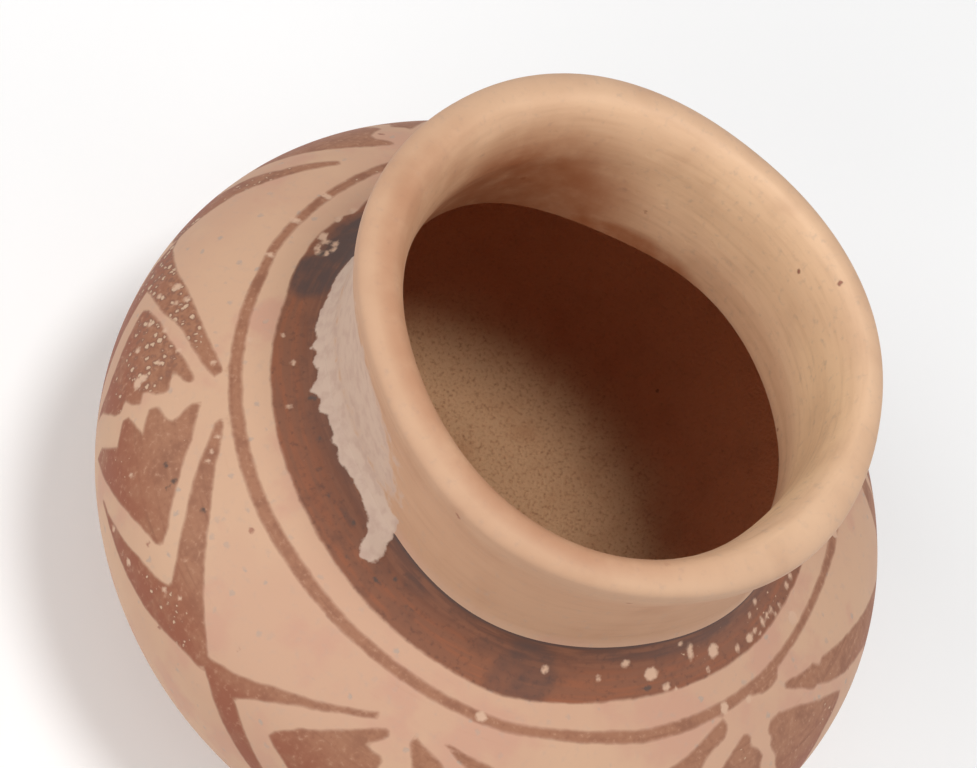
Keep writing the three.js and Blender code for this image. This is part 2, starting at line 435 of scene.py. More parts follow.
# %% [markdown]
# ## The stepped diamonds
# Each diamond is four strokes: a bracket on each side, whose two bars taper away from a shared side
# corner, and two halves of a solid diamond that face each other across a pale zigzag. Corners are
# angles from the diamond's middle and distances down the wall. The painter never drew two alike, so
# the ones that are seen have their own corners, and those at the back are the first one, stretched.

# %% List the corners of the first diamond
DIAMOND = {
    "left_bracket": [
        (-4, 19.6), (-7.7, 21.2), (-10.5, 23.1), (-13.8, 25.4), (-17, 27.9), (-19.4, 30.1), (-21.3, 32.3),
        (-23.1, 34.6), (-26.3, 37.8), (-28.1, 40), (-30.5, 41), (-27, 44.3), (-22, 47.8), (-17.5, 51),
        (-12.5, 54), (-7.5, 56.6), (-3.4, 58.4), (-3.2, 57.2), (-7.6, 53.6), (-10.9, 49.6), (-14, 46.6),
        (-17.4, 43.6), (-20.9, 41.2), (-19.6, 38.9), (-18, 36.7), (-16.3, 34.7), (-14.9, 32.7),
        (-13.7, 30.4), (-11.9, 28.2), (-9.3, 26), (-6.8, 24.1), (-4.6, 22.3), (-3.3, 20.9)],
    "right_bracket": [
        (4.6, 19.6), (6.3, 19.8), (9.7, 21), (13.2, 22.6), (16.6, 24.3), (19.8, 26), (22.7, 28),
        (25.8, 30.2), (29.4, 33), (32.6, 35.6), (35.1, 37.8), (37.2, 40), (37, 42.4), (34.9, 43),
        (32.2, 44), (29.3, 45.6), (25.8, 47.2), (20.6, 48.8), (14.1, 50.2), (11.1, 50.9), (9.2, 51.5),
        (8.8, 51.2), (11.9, 49.4), (14, 47.6), (17, 45.5), (19.9, 43), (23.7, 40.7), (25.8, 38.9),
        (26, 37.9), (23.8, 35), (20.4, 31.9), (18, 29.7), (15.4, 27.7), (12.7, 25.9), (9.9, 23.8),
        (7.6, 22.2), (5.3, 20.8)],
    "left_half": [
        (-3.3, 24.8), (-4.6, 25.5), (-6.5, 27), (-8.7, 29.1), (-11.2, 31.5), (-13.9, 34), (-15.1, 35.9),
        (-16.4, 37.8), (-16.7, 39.5), (-14.1, 41.1), (-11.5, 42.7), (-8.5, 44.6), (-6.3, 47.1),
        (-5, 49.9), (-3.6, 53.2), (-3.7, 50.9), (-3.5, 49.1), (-2.2, 45.8), (-1, 42.9), (-0.8, 41),
        (-2.3, 39.6), (-1.2, 37.7), (-0.7, 35.6), (-2.3, 35), (-2.3, 33.6), (-1.5, 32.3), (-1.4, 30.2),
        (-1.9, 29.6), (-3.7, 29.4), (-4.8, 29), (-4.5, 28.2), (-3.5, 27.1), (-2.6, 25.9), (-2.8, 25)],
    "right_half": [
        (1.4, 23.5), (7.2, 25.7), (13.5, 30), (19, 34.3), (20.4, 36.4), (19.8, 37.5), (16.6, 39.5),
        (13, 42.5), (9.3, 45.9), (5.6, 49.5), (2.4, 52.3), (2, 49.1), (3.5, 44.8), (4.3, 42), (0.8, 40),
        (0.8, 38.6), (1.9, 37.3), (4.3, 35.2), (1.9, 34.2), (0.7, 33.4), (0.7, 31.8), (3, 30.2),
        (3.6, 28.8), (3, 27.6), (2, 26.1), (1.3, 25)],
}
print("corners of the first diamond:", {stroke: len(corners) for stroke, corners in DIAMOND.items()})

# %% List what differs in the other diamonds that are seen
LOWER_RIGHT = {
    "left_bracket": [
        (-7, 19.6), (-9.1, 20.3), (-11.1, 21.1), (-13, 22.3), (-14.9, 23.2), (-17.3, 24.2), (-18.8, 24.6),
        (-25, 30.6), (-30.6, 37.6), (-31.5, 40), (-27, 45), (-17.5, 51), (-8, 56.6), (-3.4, 58.4),
        (-3.2, 57.2), (-10.9, 49.6), (-17, 43), (-21.6, 38.6), (-17.4, 31), (-13.1, 26.4), (-12.1, 25.2),
        (-10.3, 23.9), (-8, 23), (-7.1, 22.3), (-6.4, 21.1)],
    "right_bracket": [
        (7.8, 21.5), (9.7, 22), (12.4, 23.2), (15.4, 24), (16.5, 25.4), (17.9, 25.1), (27, 29.6),
        (37.4, 35.6), (41.5, 38.6), (41.5, 41), (33, 45.6), (22, 51), (11, 55.8), (5.5, 58.2),
        (4.4, 57.4), (12.7, 51), (19.8, 46), (28, 41), (29.4, 38.8), (27, 36.6), (21, 33.2), (17, 30.4),
        (14.2, 27.8), (12.9, 27.6), (10.6, 25), (7.6, 22.4)],
    "left_half": [
        (-4, 24.5), (-6.7, 26.2), (-9, 28), (-12.4, 31.4), (-15.6, 34.1), (-18, 38.2), (-16.8, 39.8),
        (-12.3, 42.3), (-8.6, 44.8), (-4.6, 51.4), (-3.2, 52.8), (-2.3, 45.9), (-0.8, 41.1), (-2.3, 39.5),
        (-0.5, 35.9), (-2.3, 34.4), (-2.2, 32), (-1.3, 30.4), (-2.1, 28.6), (-3.3, 27), (-2.7, 25.7),
        (-3.2, 24.7)],
    "right_half": [
        (4.4, 25.3), (8.8, 27.6), (13.3, 31), (17, 33.6), (18.5, 35.4), (17.4, 36.6), (13.3, 38.4),
        (9.8, 41.6), (6.6, 46.5), (2.6, 52), (1.6, 49.1), (3.2, 44.8), (4.2, 42), (1.8, 40), (1.2, 37),
        (1, 34.1), (1.4, 32.5), (0.9, 30.8), (0.7, 29.3), (1.5, 28.6), (1.1, 27.4), (1.3, 26.4),
        (2.2, 25.5)],
}
UPPER_LEFT = {
    "left_bracket": [
        (-7, 23.6), (-10, 25.4), (-14.6, 28.8), (-18.6, 32.6), (-22, 36.6), (-24.4, 40.4), (-22, 43.6),
        (-17, 47.6), (-11, 51.6), (-4, 55.6), (-3.6, 54.4), (-8.6, 50.4), (-12.6, 46.4), (-16.4, 42.2),
        (-17, 40.2), (-14.6, 36.4), (-12, 32.4), (-9, 29), (-6.6, 25.2)],
    "right_bracket": [
        (12.4, 23.9), (16.5, 26.4), (21.7, 30), (26.9, 34.4), (31.3, 37.6), (36.6, 41.4), (37, 43),
        (32, 46.4), (26, 50.6), (19, 55), (12, 59), (11, 58), (15.8, 53.8), (20, 49), (23.5, 45),
        (26.6, 41.6), (25.3, 39.6), (22.5, 36), (19.5, 31.6), (15.7, 28.4), (11.9, 25)],
    "left_half": [
        (-4.6, 29.4), (-7.4, 32.4), (-10.4, 35.8), (-12.6, 39.6), (-9.6, 43), (-6.6, 47), (-4.4, 51.6),
        (-3.4, 47), (-1.6, 43), (-3.2, 40.4), (-1.6, 37.6), (-3.4, 35), (-2.4, 32.4), (-4.2, 30.8)],
    "right_half": [
        (0.5, 24.3), (4.5, 25.6), (8.5, 28.4), (12.5, 32), (16.5, 36), (19.6, 39.8), (15, 44), (10, 50),
        (6, 54), (5, 50), (3.8, 46), (1.4, 43), (3, 40), (0.6, 37), (-0.5, 33.2), (-0.5, 32.3),
        (1.1, 31.4), (2.7, 30), (2.6, 28), (1.3, 26.1)],
}
LOWER_LEFT = {
    "left_bracket": [
        (-5.4, 24.6), (-12, 28.7), (-19.7, 33.4), (-21.8, 35.3), (-24.1, 37), (-26.4, 38.2),
        (-28.1, 39.6), (-28.3, 41), (-26, 42.6), (-23.4, 45.4), (-18, 50), (-11, 55), (-5, 58.6),
        (-4.4, 57.4), (-9.5, 53.2), (-14.5, 48.5), (-18.5, 44.4), (-22.2, 40.8), (-20, 37.4),
        (-15.6, 32.8), (-10.1, 28.6), (-5.2, 25.6)],
    "right_bracket": [
        (5.8, 23.8), (7, 24), (14, 25.2), (20, 28.4), (26, 33.2), (30, 37.6), (31.6, 39.6), (31.6, 42),
        (26, 46), (20, 50.4), (12, 55.4), (5.5, 59), (4.4, 58), (10, 53.6), (15, 49), (19, 44.6),
        (22.4, 40.8), (20, 36), (15.6, 30.8), (10.1, 26.6)],
}
print("strokes with corners of their own:", [list(own) for own in (LOWER_RIGHT, UPPER_LEFT, LOWER_LEFT)])

# %% Draw the six diamonds
DIAMONDS = [
    (-144, 1.0, 1.0, 0, {}), (-16.5, 1.0, 1.0, 0, LOWER_RIGHT), (-211.5, 1.0, 1.0, 0, UPPER_LEFT),
    (-79, 0.92, 0.85, 1.6, LOWER_LEFT), (48.2, 0.76, 0.71, 0.8, {}), (97.9, 0.76, 0.71, -0.6, {})]

for middle, left_stretch, right_stretch, lower, own in DIAMONDS:
    for stroke, corners in DIAMOND.items():
        stretch = left_stretch if stroke.startswith("left") else right_stretch
        placed = [(middle + angle * stretch, down + lower) for angle, down in corners]
        if stroke in own:
            placed = [(middle + angle, down) for angle, down in own[stroke]]
        body_skin.strokes = np.maximum(body_skin.strokes, depth_inside(body_skin, placed))
print("painted strokes: points", int((body_skin.strokes > 0).sum()))

# %% [markdown]
# ## Wear, smoke, crust, and painted shade and light
# The jar lay in the ground for a long time. Flakes of paint came off and left pale spots, small stains
# sank in, the band is smoked nearly black in two places, and a thin lime crust with a torn edge covers
# one side of the neck. Flakes and stains are spots. Smoke and fine speckles are soft patches, and so
# are the painted shade inside the neck and on the lip and the painted light on the inner neck wall.
# The crust is an outline whose film is whole on the band and patchy above it.

# %% Place the flakes, the smoke and the crust
FLAKES = [
    (-37, 6.3, 1.35, 1.25), (-33.8, 9.4, 0.8, 0.75), (-31.9, 10.3, 0.45, 0.45), (-27.1, 4.1, 0.6, 1.5),
    (-29.5, 1.8, 0.5, 0.5), (-21.3, 6.1, 1.2, 1.45), (-23.6, 9.1, 0.45, 0.6), (-15.3, 8.6, 0.5, 0.8),
    (-11.5, 8.6, 0.9, 0.9), (-9.5, 8.3, 0.6, 0.6), (-6.7, 8.1, 0.5, 1), (-4.8, 8, 0.45, 0.6),
    (-3.1, 8.1, 0.4, 0.7), (-0.5, 9.2, 0.4, 0.6), (-6.6, 3.2, 0.45, 0.8), (-9.3, 4.6, 0.4, 0.6),
    (4.1, 8.3, 0.6, 0.8), (6.5, 8.2, 0.5, 0.7), (-8.6, 9.6, 0.4, 0.4), (-2.6, 9.8, 0.4, 0.4),
    (-43, 3.6, 0.8, 0.7), (-60.6, 5.3, 0.65, 0.8), (-49, 6.1, 0.55, 0.55), (-22.5, 17.7, 1, 1.2),
    (-17, 18.9, 0.9, 0.6), (0.7, 13.8, 1.2, 1.4), (-69.5, 16.9, 1.1, 0.9), (23, 17.4, 0.9, 1.3),
    (-180.6, 7.2, 0.8, 0.6), (-179, 6.6, 0.8, 0.5), (-177.4, 7.4, 0.7, 0.7), (-177, 8.8, 0.6, 0.8),
    (-178.4, 9.9, 0.9, 0.6), (-180.4, 9.4, 0.7, 0.7), (178.5, 10.8, 1.2, 0.8), (172.8, 11.3, 1, 0.7),
    (169.1, 10.8, 0.9, 0.7), (168.9, 17.9, 0.7, 1.3), (177.3, 18.2, 0.7, 1.2), (-173.4, 17.7, 0.6, 1),
    (-164.1, 32.8, 0.8, 1), (-161.7, 29.5, 0.6, 0.7), (-161, 31.6, 0.5, 0.6), (-162.7, 36.2, 0.6, 0.7),
    (-157.8, 36.3, 0.6, 0.7), (-153.7, 37.7, 0.7, 0.7), (-148.7, 35.2, 0.8, 0.9),
    (-148.1, 36.6, 1.3, 0.9), (-150.6, 32, 0.5, 0.6), (-156.1, 32, 0.5, 0.6), (-152.3, 28.3, 0.5, 0.6),
    (-149.8, 21.4, 0.55, 0.6), (-154.3, 15, 0.5, 0.5), (-155.6, 8.9, 0.45, 0.45), (-149.2, 6.6, 0.5, 0.5),
    (-139.6, 7.9, 0.4, 0.5), (-118.1, 40, 0.6, 0.6), (-115.9, 37.8, 0.5, 0.5), (-130.3, 48.8, 0.7, 0.7),
    (-124.7, 46.8, 0.8, 0.8), (-136.3, 20.9, 0.4, 0.5), (-134, 22.4, 0.4, 0.5), (-132.5, 23.5, 0.4, 0.5),
    (-134.9, 39.3, 0.5, 0.5), (62, 7.4, 1.2, 1), (88, 3.6, 0.8, 0.9), (121, 8.2, 1.3, 1.1),
    (140, 5.2, 0.7, 0.6)]
STAINS = [
    (-125.4, 26.7, 0.6, 0.5), (-131.2, 30.3, 0.6, 0.6), (-130.6, 31.8, 0.5, 0.4), (-134, 31.3, 0.5, 0.6),
    (-38.1, 8.8, 0.9, 0.5), (-118.7, 6.1, 0.5, 0.4), (-114, 5.3, 1.2, 0.25), (-111.2, 4.9, 0.6, 0.3),
    (-124.5, 6.1, 0.5, 0.4), (-176.9, 8.3, 1.1, 0.6), (-106, 8.6, 0.7, 0.25), (-99, 7.2, 0.9, 0.3),
    (-96.5, 4.6, 0.5, 0.5), (-90.6, 6.6, 1, 0.3), (-140.5, 3.6, 0.5, 0.8), (-131, 4.4, 0.4, 0.5)]
CRUST = [
    (-187, -11), (-184, -6), (-181, -4), (-180, -1), (-177, 0.8), (-171, 1.6), (-165, 1.5), (-160.5, 2.3),
    (-157, 2.7), (-154.6, 1.8), (-152.6, 3.3), (-150.8, 1.6), (-148.6, 2.8), (-147, 1.8), (-144.6, 2.2),
    (-142.2, 3.7), (-139.6, 2.1), (-137, 3.0), (-135.6, 1.8), (-131, 1.7), (-129, 2.7), (-127.4, 1.8),
    (-125, 2.7), (-122.5, 2.0), (-118, 1.6), (-113, 1.8), (-110, 2.3), (-107.6, 3.8), (-106.6, 5.6),
    (-104.6, 6.9), (-102.3, 6.2), (-101.5, 4.4), (-102.8, 2), (-104.2, -1), (-105.4, -5), (-105, -10),
    (-108, -14), (-112, -18), (-117, -22), (-123, -27), (-132, -31), (-176, -31), (-181, -26),
    (-185, -20), (-184, -15)]
SMOKE = [
    (-184, 2, 13, 9, 1.0), (-171, 6.5, 7, 7, 0.85), (-72, 4, 5, 2.4, 0.5), (-91, 8.5, 5, 2.0, 0.4),
    (-93, 3, 4, 2.0, 0.45), (-119, 6, 4, 1.2, 0.4), (-113, 5.2, 4, 1.0, 0.5), (-100, 6, 5, 2.5, 0.35),
    (-134, 4, 6, 3, 0.35), (-31, 2, 30, 1.8, 0.5), (60, 4, 16, 5, 0.6), (132, 6, 9, 6, 0.7)]
SMOKED_END = (-64.5, 7, 8, 8, 0.65)
SMOKED_END_AT = -56.5
SPECKLED = [
    (-156, 33, 12, 10, 0.95), (-165, 36, 8, 9, 1.0), (-158, 26, 5, 4, 0.45), (-172, 38, 9, 9, 1.0),
    (-150, 41, 7, 4, 0.7), (-137, 45, 10, 6, 0.45), (-116, 42, 8, 5, 0.6), (-122, 49, 9, 4, 0.5),
    (-190, 33, 8, 8, 0.7), (-4, 34, 9, 7, 0.5), (-20, 29, 7, 4, 0.4), (-137, 23, 3, 5, 0.5),
    (-189, 17.6, 25, 1.6, 0.55), (-25, 5, 9, 4, 0.4), (-1, 7, 12, 4, 0.45), (70, 38, 14, 9, 0.7),
    (100, 30, 10, 8, 0.5)]
# Painted shade on the neck: soft red-brown patches inside it towards the throat, and along the lip.
NECK_STAINS = [
    (148, 0, 44, 28, 0.95), (70, 0, 60, 8, 0.3), (-150, -26, 60, 8, 0.3), (-172, -25, 26, 11, 0.45),
    (108, 1, 30, 6, 1.0), (-120, -31, 80, 5, 0.6)]
LIP_STAINS = [(-125, -34, 75, 10, 0.2)]
# Painted light: pale patches on the inner wall of the neck, where light falls on it.
WIPED_WALL = [(15, -18, 42, 12, 1.0), (75, -22, 40, 10, 0.4)]

# A soft patch is whole out to 0.6 of its half size, and gone at 1.25. The crust's film is whole on
# the band. Up the neck it gains 0.06 for each mm from its torn edge, up to 10 mm in.
PATCH_WHOLE = 0.6
PATCH_GONE = 1.25
FILM_REACH = 10
FILM_PER_MM = 0.06
FILM_NECK = -4


def soft_patches(skin, patches, face):
    """Soft oval patches on one face: (angle, mm down, half angle, half height, strength)."""
    amount = np.zeros(len(skin.angle))
    for angle, down, half_angle, half_height, strength in patches:
        turned = ((skin.angle - angle + 180) % 360 - 180) / half_angle
        far = np.hypot(turned, (skin.down - down) / half_height)
        amount = np.maximum(amount, strength * (1 - eased(far, PATCH_WHOLE, PATCH_GONE)))
    return amount * face


smoked_end = soft_patches(body_skin, [SMOKED_END], body_skin.outer & (body_skin.angle < SMOKED_END_AT))
body_skin.smoke = np.maximum(soft_patches(body_skin, SMOKE, body_skin.outer), smoked_end)
body_skin.speckled = soft_patches(body_skin, SPECKLED, body_skin.outer)
body_skin.flakes = depth_in_spots(body_skin, FLAKES)
body_skin.stains = depth_in_spots(body_skin, STAINS)
# Painted shade: the neck's patches darken its inside towards the throat and the edges of the lip.
inner_side = eased(neck_skin.side, 0.15, 0.5)
lip_stained = soft_patches(neck_skin, LIP_STAINS, 1)
neck_skin.smoke = np.maximum(soft_patches(neck_skin, NECK_STAINS, inner_side), lip_stained)
# Painted light: the wall patches make the inner wall of the neck paler.
neck_skin.wiped_wall = soft_patches(neck_skin, WIPED_WALL, inner_side)
for skin in (body_skin, neck_skin):
    skin.crust = depth_inside(skin, CRUST)
    skin.cover = np.clip(skin.crust, 0, FILM_REACH) * FILM_PER_MM + eased(skin.down, FILM_NECK, 0)
print("flaked points", int((body_skin.flakes > 0).sum()))

# %% [markdown]
# ## Shaping the skin
# The spun rings are perfect circles. Now every point gets its waver, and moves a little along its
# own outward direction: a slow unevenness of a tenth of a millimetre from the scraping, dents
# where paint and clay came away, and the thickness of the crust. The unevenness only goes inwards, so
# the jar keeps inside its measured size.

# %% Move the points
SCRAPED_LENGTH = 16
SCRAPED_DEPTH = 0.16
KEEP_INSIDE = 0.05
FLAKE_DEPTH = 0.14
CRUST_THICKNESS = 0.28


def shape_skin(skin):
    """Give every point its waver and its relief."""
    below = skin.along < neck_foot
    up_neck = np.clip((skin.along - neck_foot) / (lip_widest - neck_foot), 0, 1)
    at_neck = np.where(below, np.clip(1 - (neck_foot - skin.along) / WAVER_FADE, 0, 1) ** 2, 1 - up_neck)
    at_lip = np.where(below, 0, up_neck)
    turn = skin.turn
    outer = at_neck * waver(NECK_WAVER, turn) + at_lip * waver(LIP_OUTSIDE_WAVER, turn)
    inner = at_neck * waver(THROAT_WAVER, turn) + at_lip * waver(LIP_INSIDE_WAVER, turn)
    wavered = skin.radius + (1 - skin.side) * outer + skin.side * inner
    unit = np.stack([np.cos(turn), np.sin(turn)], 1)
    spots = np.column_stack([unit * skin.radius[:, None], skin.height]) / SCRAPED_LENGTH
    uneven = np.array([noise.noise(Vector(spot)) for spot in spots]) * 0.5 + 0.5
    relief = -KEEP_INSIDE - SCRAPED_DEPTH * uneven
    if hasattr(skin, "flakes"):
        relief -= FLAKE_DEPTH * eased(skin.flakes, -0.3, 0.4)
    relief += CRUST_THICKNESS * eased(skin.crust, -0.4, 0.6) * np.clip(skin.cover, 0, 1)
    radius = np.where(skin.radius < PROBE, 0, wavered + skin.out_r * relief)
    height = skin.height + skin.out_z * relief
    points = np.column_stack([unit * radius[:, None], height])
    skin.mesh.vertices.foreach_set("co", (points * MM).ravel())
    skin.unrolled = np.column_stack([unit * NECK_RADIUS, skin.down])
    return relief


for skin in (body_skin, neck_skin):
    relief = shape_skin(skin)
    print(skin.mesh.name, "relief in mm:", round(relief.min(), 2), "to", round(relief.max(), 2))

# %% [markdown]
# ## Numbers for the materials
# The materials read what each point knows: how deep it lies in each painted shape, how smoked or
# speckled it is, where the neck carries painted shade and painted light, how bare the clay is inside
# and where its inside carries painted shade under the shoulder, and its place on the wall laid flat,
# for brush strokes that follow the turning of the jar. That place is kept as a point on a cylinder, so
# that it has no seam where the angle starts again.

# %% Store the numbers on the meshes
DEPTH_LIMIT = 5
# Painted shade: the inside of the body is darker and redder above about 94 mm down the wall, under the
# shoulder.
SOOTY_TO = 94
SOOTY_SOFT = 13
SOOTY_LEAN = 4
DEPTHS = ("band", "strokes", "flakes", "stains", "crust")
SHARES = ("cover", "smoke", "speckled", "bare", "sooty", "slip_side", "wiped_wall", "fall")


def store(mesh, name, values):
    """Keep one number, or one place, at each point of a mesh."""
    values = np.asarray(values, np.float32)
    kind, field = ("FLOAT_VECTOR", "vector") if values.ndim == 2 else ("FLOAT", "value")
    mesh.attributes.new(name, kind, "POINT").data.foreach_set(field, values.ravel())


for skin in (body_skin, neck_skin):
    skin.bare = skin.side * eased(skin.down, -2, 1)
    sooty_to = SOOTY_TO + SOOTY_LEAN * np.cos(skin.turn)
    skin.sooty = skin.side * eased(skin.down, sooty_to + SOOTY_SOFT, sooty_to - SOOTY_SOFT)
    skin.slip_side = skin.side * (1 - skin.bare)
    skin.fall = skin.down
    for name in DEPTHS:
        if hasattr(skin, name):
            store(skin.mesh, name, np.clip(getattr(skin, name), -DEPTH_LIMIT, DEPTH_LIMIT))
    for name in SHARES:
        if hasattr(skin, name):
            store(skin.mesh, name, getattr(skin, name))
    store(skin.mesh, "unrolled", skin.unrolled)
    print(skin.mesh.name, "stores", [layer.name for layer in skin.mesh.attributes if not layer.is_internal])

# %% [markdown]
# ## Two pieces of clay
# The body and the neck are two pieces that meet at the foot of the neck, where the potter set the
# neck's coil. Both are closed all round. Their skins are shaded smooth, and only the hidden faces
# where the coils join have sharp edges.

# %% Make the pieces
SEAM_SHARP = math.radians(50)


def make_piece(mesh, slot, *nodes):
    """An object for a mesh, standing for nodes of the solid."""
    mesh.shade_smooth()
    mesh.set_sharp_from_angle(angle=SEAM_SHARP)
    piece = bpy.data.objects.new(mesh.name, mesh)
    bpy.context.scene.collection.objects.link(piece)
    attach(piece, "root")
    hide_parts(*nodes)
    return piece


jar_body = make_piece(body_mesh, "body_clay", "base_patch", "lower_coil_1", "lower_coil_2",
                      "belly_coil", "shoulder_coil_1", "shoulder_coil_2")
jar_neck = make_piece(neck_mesh, "rim_clay", "neck_coil", "rim_coil")
print("pieces:", jar_body.name, jar_neck.name)

# %% [markdown]
# ## Helpers for materials
# Colours are written as they are read off a screen, and one function turns them to the linear values
# that light works with. Patterns are given by their real size. One more function adds a node, sets
# it, and links it.

# %% Write the helpers
def tint(code):
    """A colour such as #d4ae8e as linear red, green and blue, with full alpha."""
    channels = [int(code[i:i + 2], 16) / 255 for i in (1, 3, 5)]
    linear = [c / 12.92 if c <= 0.04045 else ((c + 0.055) / 1.055) ** 2.4 for c in channels]
    return (*linear, 1.0)


def per_mm(size):
    """The texture scale at which a pattern's features are about so many mm, on Object coordinates."""
    return 1 / (size * MM)


def add(tree, kind, inputs=None, **settings):
    """Add a node. Settings are its own; inputs are values, or outputs of other nodes to link."""
    node = tree.nodes.new(kind)
    for name, value in settings.items():
        setattr(node, name, value)
    for name, value in (inputs or {}).items():
        if isinstance(value, bpy.types.NodeSocket):
            tree.links.new(value, node.inputs[name])
        else:
            node.inputs[name].default_value = value
    return node


print("a middle grey as light:", [round(channel, 3) for channel in tint("#808080")])

# %% [markdown]
# ## The fired clay
# Earthenware is a matt, slightly porous stone, IOR about 1.5 and roughness 0.6 to 0.7 where it is
# smoothed. Its colour comes in slow clouds from the fire, its slip keeps faint wipe marks that run
# round the jar, and grains of grey and rusty temper show through as tiny flecks. A coat is a list of
# masks and a colour, and lies where all its masks are 1. The coats are laid over the clay one after
# another, as they were on the jar.

# %% Mix the clay's own colour
BUFF = "#c2997e"
PINK_BUFF = "#c0937b"
YELLOW_BUFF = "#c69f82"
LIP_BUFF = "#c8a183"
NECK_PINK = "#c69b7c"
# The cream of the neck's inner side is partly the slip's colour and partly painted light: it makes the
# inside of the neck paler than the outside.
CREAM_SLIP = "#e8bf99"
TEMPER_GREY = "#ad9584"
RUSTY_GRAIN = "#97654f"
TOUCHED_BROWN = "#a06e50"
WIPED_PALE = "#f3d3b0"
# The next pale is painted light on the inner wall of the neck.
WALL_PALE = "#f8d1a6"
WIPED_DARK = "#9a6f54"
WIPED = (0.07, 0.07, 0.75)


def where_all(tree, masks):
    """Where all masks hold. A mask is a value, or (value, low, high), which is 0 at low and 1 at high."""
    values = []
    for mask in masks:
        if isinstance(mask, tuple):
            rising = dict(zip(("Value", "From Min", "From Max"), mask))
            mask = add(tree, "ShaderNodeMapRange", rising, interpolation_type="SMOOTHSTEP").outputs[0]
        values.append(mask)
    where = values[0]
    for value in values[1:]:
        where = add(tree, "ShaderNodeMath", {0: where, 1: value}, operation="MULTIPLY").outputs[0]
    return where


def shaken(tree, place, size, far):
    """A place moved to and fro by so many mm, so that round dots become uneven grains."""
    shake = add(tree, "ShaderNodeTexNoise", {"Vector": place, "Scale": per_mm(size), "Detail": 2.0})
    moved = {0: shake.outputs["Color"], 1: (far * MM, far * MM, far * MM), 2: place}
    return add(tree, "ShaderNodeVectorMath", moved, operation="MULTIPLY_ADD").outputs[0]


def clay_coats(tree, stored, place):
    """The unpainted clay: its clouds, wipe marks and flecks, the cream inner side that is partly painted
    light, and the pale patch of painted light inside the neck, as coats, and its relief.
    """
    clouds, blush, mottle = [
        add(tree, "ShaderNodeTexNoise", {"Vector": place, "Scale": scale, "Detail": detail}).outputs[0]
        for scale, detail in ((per_mm(30), 3.0), (per_mm(13), 4.0), (per_mm(1.6), 4.0))]
    along = {0: stored["unrolled"], 1: WIPED}
    stretched = add(tree, "ShaderNodeVectorMath", along, operation="MULTIPLY").outputs[0]
    wiped = add(tree, "ShaderNodeTexNoise", {"Vector": stretched, "Scale": 1.0, "Detail": 5.0}).outputs[0]
    loose = shaken(tree, place, 1.1, 1.3)
    grains = add(tree, "ShaderNodeTexVoronoi", {"Vector": loose, "Scale": per_mm(3.2)}).outputs
    rusty = add(tree, "ShaderNodeTexVoronoi", {"Vector": loose, "Scale": per_mm(10)}).outputs
    fall, slip_side = stored["fall"], stored["slip_side"]
    shoulder = (fall, -3, 1)
    neck = (fall, 1, -3)
    lip = (fall, -24, -31)
    grain = (grains["Distance"], 0.24, 0.08)
    rust = (rusty["Distance"], 0.075, 0.03)
    touched = (wiped, 0.6, 1.3)
    # The cream inner side is partly painted light, and the pale wall patch is painted light.
    coats = [
        ([(clouds, 0.42, 0.62)], YELLOW_BUFF), ([(blush, 0.5, 0.66)], PINK_BUFF), ([neck], NECK_PINK),
        ([lip], LIP_BUFF), ([slip_side], CREAM_SLIP), ([stored.get("wiped_wall", 0.0)], WALL_PALE),
        ([slip_side, (wiped, 0.4, 1.5)], WIPED_PALE), ([neck, (wiped, 0.6, -0.6)], WIPED_DARK),
        ([neck, (blush, 0.45, 1.3)], TOUCHED_BROWN), ([touched, (blush, 0.35, 0.65)], TOUCHED_BROWN),
        ([(mottle, 0.52, 1.1)], TEMPER_GREY),
        ([shoulder, grain, (grains["Color"], 0.2, 0.9)], TEMPER_GREY),
        ([rust, (rusty["Color"], 0.5, 0.6)], RUSTY_GRAIN)]
    return coats, [([mottle], 0.4), ([wiped], 0.35), ([grain], -0.6)]


print("buff as light:", [round(channel, 3) for channel in tint(BUFF)])

# %% [markdown]
# ## The bare clay inside
# Nobody slipped or smoothed the inside of the belly. It feels like fine sandpaper, and grains that fell
# out left dark pits. The upper wall under the shoulder is painted darker and redder, as painted shade.

# %% Mix the bare clay
BARE_CLAY = "#dbac80"
BARE_SHADE = "#c68f63"
# Two reds for painted shade under the shoulder.
SOOTY_RED = "#c4764a"
SOOTY_DARK = "#b0673f"
PIT_DARK = "#6a4029"


def bare_coats(tree, stored, place):
    """The unslipped inside as coats, limited by the masks that say where it is bare and where painted shade
    lies under the shoulder.
    """
    grit, patches = [
        add(tree, "ShaderNodeTexNoise", {"Vector": place, "Scale": per_mm(size), "Detail": 5.0}).outputs[0]
        for size in (0.7, 11)]
    drifting = {0: patches, 1: 0.3, 2: stored["sooty"]}
    drift = add(tree, "ShaderNodeMath", drifting, operation="MULTIPLY_ADD").outputs[0]
    loose = shaken(tree, place, 0.9, 0.9)
    fine = add(tree, "ShaderNodeTexVoronoi", {"Vector": loose, "Scale": per_mm(2.3)}).outputs
    large = add(tree, "ShaderNodeTexVoronoi", {"Vector": loose, "Scale": per_mm(11)}).outputs
    pit = (fine["Distance"], 0.16, 0.06)
    hole = (large["Distance"], 0.05, 0.03)
    # Painted shade: the inside is darker and redder under the shoulder, where this mask rises.
    smoked = (drift, 0.15, 1.15)
    bare = stored["bare"]
    coats = [
        ([bare], BARE_CLAY), ([bare, (patches, 0.45, 0.9)], BARE_SHADE),
        ([bare, (grit, 0.45, 0.8)], BARE_SHADE), ([bare, smoked], SOOTY_RED),
        ([bare, smoked, (patches, 0.45, 0.95)], SOOTY_DARK),
        ([bare, pit, (fine["Color"], 0.5, 1.7)], PIT_DARK),
        ([bare, hole, (large["Color"], 0.5, 0.6)], PIT_DARK), ([bare, (grit, 0.5, 1.25)], PIT_DARK)]
    return coats, [([grit, bare], 16.0), ([pit, bare], -1.0), ([hole, bare], -3.0)]


print("bare clay as light:", [round(channel, 3) for channel in tint(BARE_CLAY)])

